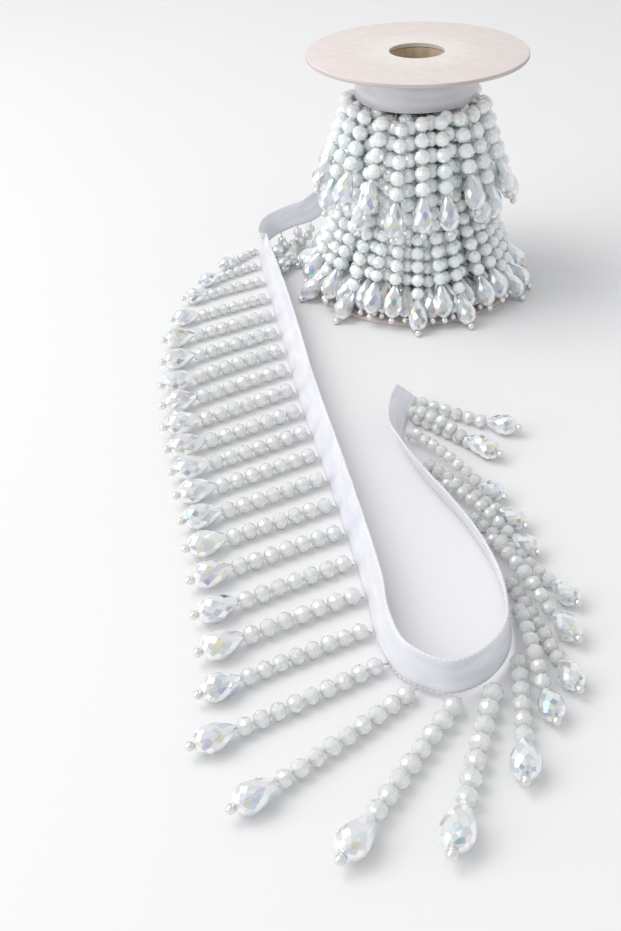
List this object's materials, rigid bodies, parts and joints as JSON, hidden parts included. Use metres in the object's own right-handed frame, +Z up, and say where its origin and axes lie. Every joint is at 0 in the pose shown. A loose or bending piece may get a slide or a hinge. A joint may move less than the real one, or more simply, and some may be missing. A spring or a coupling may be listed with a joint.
{
  "type": "roll of beaded ribbon",
  "caption": "Roll of satin ribbon with a bead fringe, wound on an upright board spool, its strands hanging in flared tiers, with a loose length of the trim laid out beside it.",
  "frame": {"origin": "middle of the footprint, on the surface that the spool and the loose length rest on", "axes": "+Z up along the spool's axis; +Y from the front of the loose length's turn towards the spool; +X to the right as seen from the front"},
  "size_m": [0.1376, 0.304, 0.086],
  "materials": {
    "board": "pale matte paperboard",
    "kraft": "matte brown paper tube",
    "satin": "white satin weave",
    "beads": "polished faceted glass with a faint lustre"
  },
  "bodies": {
    "root": {"spool_flange_bottom": "board", "spool_flange_top": "board", "spool_core": "kraft", "wound_ribbon_upper": "satin", "fringe_upper_1": "beads", "fringe_upper_2": "beads", "fringe_upper_3": "beads", "fringe_upper_4": "beads", "wound_ribbon_lower": "satin", "fringe_lower_1": "beads", "fringe_lower_2": "beads", "fringe_lower_3": "beads", "fringe_lower_4": "beads", "wound_beads_upper": "beads", "wound_beads_lower": "beads", "loose_ribbon": "satin", "loose_fringe_hanging": "beads", "loose_fringe_bend": "beads", "loose_fringe_side_1": "beads", "loose_fringe_side_2": "beads", "loose_fringe_side_3": "beads", "loose_fringe_turn_1": "beads", "loose_fringe_turn_2": "beads", "loose_fringe_turn_3": "beads", "loose_fringe_return_1": "beads", "loose_fringe_return_2": "beads", "loose_fringe_end": "beads"}
  },
  "joints": []
}
